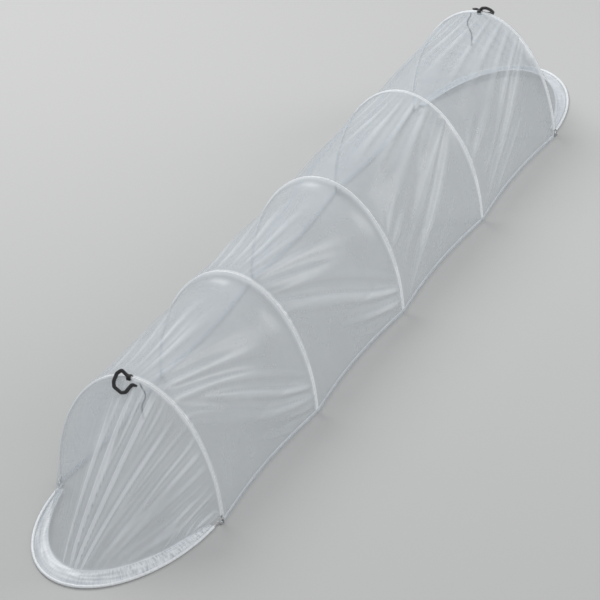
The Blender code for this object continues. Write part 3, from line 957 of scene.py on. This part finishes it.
def make_canopy(end, points):
    """The film from the outer hoop down to the band."""
    base, rise = canopy_surface()
    # The canopy's milkiness includes a painted highlight along its fold ridges
    milk_and_highlight = edge_columns_added(crease_milk_and_highlight(points, base, CANOPY_MILK_SPREAD))
    base, rise, points = [edge_columns_added(values) for values in (base, rise, points)]
    slope = np.linalg.norm(base[:, -1] - base[:, 0], axis=-1)[:, None]
    milk_and_highlight = np.maximum(milk_and_highlight, weld_milk((1 - rise) * slope))
    milk_and_highlight = np.maximum(milk_and_highlight, CANOPY_FOOT_MILK * np.exp(-rise * slope / CANOPY_FOOT_REACH))
    obj = grid_piece(f"{end}_canopy_film", placed(points, end), CLEAR, marks={"milk_and_highlight": milk_and_highlight})
    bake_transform(obj)
    cut_slot(obj, 0 if end == "near" else LAST_HOOP, CANOPY_SLOT_GAP)
    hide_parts(f"{end}_end_canopy")


# The hook

HOOK_HALF_SPAN = 0.0345
HOOK_REACH = 0.046
HOOK_LIFT = 0.0128
HOOK_ROOT_LIFT = 0.0068
HOOK_HALF_WIDE = 0.0047
HOOK_HALF_THICK = 0.0043
HOOK_CORNER = 0.0035
CORNER_STEPS = 4
# The most of the way to its neighbour that a corner's rounding may take
CORNER_MOST_SHARE = 0.45
HOOK_SIDES = 16
HOOK_TIP_SHARE = 0.55
# Power that gives the hook's section its shape: 1 is round, and towards 0 it gets square
HOOK_POWER = 0.55
# The C's centreline after its root: across as shares of the half span, down as shares of the reach
HOOK_PATH_SHARES = (
    (-0.20, -0.10),
    (-0.61, -0.27),
    (-0.93, -0.04),
    (-1.00, 0.46),
    (-0.83, 0.76),
    (-0.12, 1.00),
    (0.23, 0.92),
    (0.42, 0.62),
    (0.58, 0.41),
    (0.99, 0.43),
)
COLLAR_LENGTH = 0.012
COLLAR_R = 0.0090
COLLAR_BORE_R = 0.0056
COLLAR_BEVEL = 0.0006
COLLAR_SIDES = 40
# The groove round the collar's middle
GROOVE_HALF_WIDTH = 0.0010
GROOVE_HALF_FLOOR = 0.0008
GROOVE_DEPTH = 0.0004
# The canopy falls from the crown at 45 degrees: along it and off it are the same share up and out
SLOPE_SHARE = math.sqrt(0.5)
OFF_CANOPY = np.array([0, -SLOPE_SHARE, SLOPE_SHARE])


def hook_point(across, down, lift):
    """A point from the crown: across the tunnel, down the canopy's slope, and off it."""
    out = -down * SLOPE_SHARE - lift * SLOPE_SHARE
    return np.array([across, out, HEIGHT - down * SLOPE_SHARE + lift * SLOPE_SHARE])


def rounded_path(points, cut):
    """A path with each corner rounded over a stretch of it."""
    made = [points[0]]
    for before, corner, after in zip(points, points[1:], points[2:]):
        back, on = before - corner, after - corner
        start = corner + back * min(CORNER_MOST_SHARE, cut / np.linalg.norm(back))
        stop = corner + on * min(CORNER_MOST_SHARE, cut / np.linalg.norm(on))
        for k in range(CORNER_STEPS + 1):
            t = k / CORNER_STEPS
            made.append(start * (1 - t) ** 2 + corner * 2 * t * (1 - t) + stop * t * t)
    made.append(points[-1])
    return np.array(made)


def hook_ring(point, along, size_share):
    """The hook's rounded square section round a point of its path."""
    flat = np.cross(OFF_CANOPY, along)
    flat /= np.linalg.norm(flat)
    up = np.cross(along, flat)
    ring = []
    for k in range(HOOK_SIDES):
        turn = 2 * math.pi * (k + 0.5) / HOOK_SIDES
        c, s = math.cos(turn), math.sin(turn)
        wide = math.copysign(abs(c) ** HOOK_POWER, c) * HOOK_HALF_WIDE * size_share
        thick = math.copysign(abs(s) ** HOOK_POWER, s) * HOOK_HALF_THICK * size_share
        ring.append(point + flat * wide + up * thick)
    return ring


def make_hook(end):
    """The moulded C hook, narrowed at its tip."""
    points = [hook_point(0, 0, HOOK_ROOT_LIFT)]
    for across, down in HOOK_PATH_SHARES:
        points.append(hook_point(across * HOOK_HALF_SPAN, down * HOOK_REACH, HOOK_LIFT))
    path = rounded_path(points, HOOK_CORNER)
    last = len(path) - 1
    rings = []
    for i, point in enumerate(path):
        along = path[min(i + 1, last)] - path[max(i - 1, 0)]
        along /= np.linalg.norm(along)
        rings.append(hook_ring(point, along, HOOK_TIP_SHARE if i == last else 1.0))
    obj = grid_piece(f"{end}_hook", placed(rings, end), PLASTIC, closed=True, caps=True)
    dress(obj, f"{end}_hook", f"{end}_vent_hook")


def collar_profile():
    """Half a section of the collar, from one face over its rim and groove to the other, as (x, radius)."""
    half = COLLAR_LENGTH / 2
    side = [
        (half, COLLAR_BORE_R),
        (half, COLLAR_R - COLLAR_BEVEL),
        (half - COLLAR_BEVEL, COLLAR_R),
        (GROOVE_HALF_WIDTH, COLLAR_R),
        (GROOVE_HALF_FLOOR, COLLAR_R - GROOVE_DEPTH),
    ]
    return [(-x, r) for x, r in side] + side[::-1]


def make_collar(end):
    """The split collar that holds the hook on the crown."""
    profile = collar_profile()
    rings = []
    for k in range(COLLAR_SIDES):
        turn = 2 * math.pi * k / COLLAR_SIDES
        rings.append([(x, r * math.cos(turn), HEIGHT + r * math.sin(turn)) for x, r in profile])
    rings.append(rings[0])
    obj = grid_piece(f"{end}_hook_collar", placed(rings, end), PLASTIC, closed=True)
    face_outwards(obj.data, joined=True)
    dress(obj, f"{end}_hook")


# The tie cord

CORD_R = 0.002
CORD_ANGLE = math.radians(82.5)
CORD_SEAT = 0.0014
CORD_RESOLUTION = 4
CORD_BEVEL_RESOLUTION = 3
# The knot: how far its centre lies below the cord's end, and its strand's swing and radius as shares of
# the cord's radius
KNOT_DROP = 0.0037
KNOT_STEPS = 96
KNOT_SWING_SHARE = 0.48
STRAND_SHARE = 0.8
STRAND_SIDES = 10
# The cord's route from the sleeve's underside: across to the right, and up
CORD_ROUTE = (
    (0.0, 0.0),
    (0.0010, -0.0070),
    (0.0040, -0.0140),
    (0.0080, -0.0205),
    (0.0112, -0.0275),
    (0.0126, -0.0350),
    (0.0120, -0.0425),
    (0.0096, -0.0495),
    (0.0062, -0.0560),
    (0.0028, -0.0630),
    (0.0004, -0.0705),
    (-0.0008, -0.0780),
    (-0.0010, -0.0860),
    (-0.0004, -0.0940),
    (0.0004, -0.1015),
    (0.0006, -0.1060),
)


def cord_route():
    """The cord's centreline from the underside of the sleeve, as the model has it."""
    x, z = arch(CORD_ANGLE, -(SLEEVE_R + CORD_SEAT))
    return [(x + across, 0, z + up) for across, up in CORD_ROUTE]


def cord_curve(name, route):
    """A smooth round curve through the route's points."""
    curve = bpy.data.curves.new(name, "CURVE")
    curve.dimensions = "3D"
    curve.bevel_depth = CORD_R
    curve.bevel_resolution = CORD_BEVEL_RESOLUTION
    curve.use_fill_caps = True
    curve.resolution_u = CORD_RESOLUTION
    spline = curve.splines.new("BEZIER")
    spline.bezier_points.add(len(route) - 1)
    for point, at in zip(spline.bezier_points, route):
        point.co = at
        point.handle_left_type = point.handle_right_type = "AUTO"
    curve.materials.append(CORD)
    return link(name, curve)


def make_knot(name, centre):
    """An overhand knot pulled tight: one strand wound over itself."""
    strand = []
    for k in range(KNOT_STEPS + 1):
        t = 2 * math.pi * k / KNOT_STEPS
        radius = CORD_R * (1 + KNOT_SWING_SHARE * math.cos(3 * t))
        strand.append(centre + (radius * math.cos(2 * t), radius * math.sin(2 * t), CORD_R * math.sin(3 * t)))
    points = tube_points(strand, CORD_R * STRAND_SHARE, STRAND_SIDES)
    return grid_piece(name, points, CORD, closed=True)


def make_cord(end):
    route = placed(cord_route(), end)
    cord = cord_curve(f"{end}_cord", route)
    knot = make_knot(f"{end}_cord_knot", route[-1] - (0, 0, KNOT_DROP))
    dress(cord, "frame", f"{end}_tie_cord")
    dress(knot, "frame", f"{end}_tie_knot")


# Stage, lights and camera

AZIMUTH = math.radians(28)
ELEVATION = math.radians(31)
ROLL = math.radians(-3.5)
LENS = 200
SENSOR = 36
CLIP_END = 100
FRAME_SHARE = 1.04
OUTLINE_STEPS = 24
# Where the search for the camera's place starts, and its rounds
AIM_START = (0, 0, 0.1)
DISTANCE_START = 16.0
AIM_ROUNDS = 12
FLOOR_HALF_WIDTH = 14
SKY_STRENGTH = 0.55
# Name, place, width and power of each lamp
LAMPS = (
    ("key", (-3.0, 1.5, 4.2), 3.2, 150),
    ("fill", (3.5, -4.5, 3.5), 3.6, 50),
    ("side", (3.6, 3.0, 2.2), 2.4, 60),
)
TRANSPARENT_LAYERS = 40


def make_floor():
    half = FLOOR_HALF_WIDTH
    corners = [(-half, -half, 0), (half, -half, 0), (half, half, 0), (-half, half, 0)]
    mesh = bpy.data.meshes.new("floor")
    mesh.from_pydata(corners, [], [(0, 1, 2, 3)])
    material, shader, _ = new_material("floor")
    set_inputs(material, shader, {"Base Color": (0.52, 0.52, 0.51, 1), "Roughness": 0.9}, {})
    mesh.materials.append(material)
    link("floor", mesh)


def make_lights():
    world = bpy.data.worlds.new("studio")
    world.use_nodes = True
    sky = world.node_tree.nodes["Background"]
    sky.inputs["Color"].default_value = (0.95, 0.97, 1.0, 1)
    sky.inputs["Strength"].default_value = SKY_STRENGTH
    bpy.context.scene.world = world
    for name, place, width, power in LAMPS:
        lamp = bpy.data.lights.new(name, "AREA")
        lamp.shape = "DISK"
        lamp.size = width
        lamp.energy = power
        obj = link(name, lamp)
        obj.location = place
        obj.rotation_mode = "QUATERNION"
        obj.rotation_quaternion = Vector(place).to_track_quat("Z", "Y")


def tunnel_outline():
    """Points on the outer hoops and on the end hoops, which hold the whole tunnel between them."""
    corners = []
    for k in range(OUTLINE_STEPS + 1):
        turn = math.pi * k / OUTLINE_STEPS
        c, s = math.cos(turn), math.sin(turn)
        for y, out in ((FIRST_Y, -1), (LAST_Y, 1)):
            corners.append(Vector((HALF_WIDTH * c, y, HEIGHT * s)))
            corners.append(Vector((HALF_WIDTH * c, y + out * (PIVOT_SETBACK + END_REACH) * s, 0)))
    return corners


def camera_place(turn, back):
    """The camera's place, found by moving it until the tunnel's outline fills the frame."""
    corners = tunnel_outline()
    centre, distance = Vector(AIM_START), DISTANCE_START
    for _ in range(AIM_ROUNDS):
        flat = [turn.transposed() @ (corner - centre) for corner in corners]
        seen = [(p.x / (distance - p.z), p.y / (distance - p.z)) for p in flat]
        low = [min(p[k] for p in seen) for k in (0, 1)]
        high = [max(p[k] for p in seen) for k in (0, 1)]
        centre = centre + turn @ Vector([(low[k] + high[k]) / 2 * distance for k in (0, 1)] + [0])
        half = max(high[k] - low[k] for k in (0, 1)) / 2
        distance *= half * FRAME_SHARE * LENS / (SENSOR / 2)
    return centre + back * distance


def make_camera():
    """The photograph's viewing angle, with the whole tunnel in the frame."""
    level = math.cos(ELEVATION)
    back = Vector((math.sin(AZIMUTH) * level, -math.cos(AZIMUTH) * level, math.sin(ELEVATION)))
    turn = (-back).to_track_quat("-Z", "Y").to_matrix() @ Matrix.Rotation(ROLL, 3, "Z")
    data = bpy.data.cameras.new("camera")
    data.lens = LENS
    data.sensor_width = SENSOR
    data.clip_end = CLIP_END
    camera = link("camera", data)
    camera.location = camera_place(turn, back)
    camera.rotation_mode = "QUATERNION"
    camera.rotation_quaternion = turn.to_quaternion()
    bpy.context.scene.camera = camera


def main():
    make_camera()
    for end in ("near", "far"):
        make_cord(end)
    settled = settled_films()
    make_cover(settled)
    for index in range(HOOP_COUNT):
        make_sleeve(index)
        make_wire(index)
    for end in ("near", "far"):
        make_end_wire(end)
        make_end_sleeve(end)
        band = make_band(end)
        make_canopy(end, settled[end])
        make_hook(end)
        make_collar(end)
    make_floor()
    make_lights()
    scene = bpy.context.scene
    scene.view_settings.view_transform = "Standard"
    scene.cycles.transparent_max_bounces = TRANSPARENT_LAYERS


main()
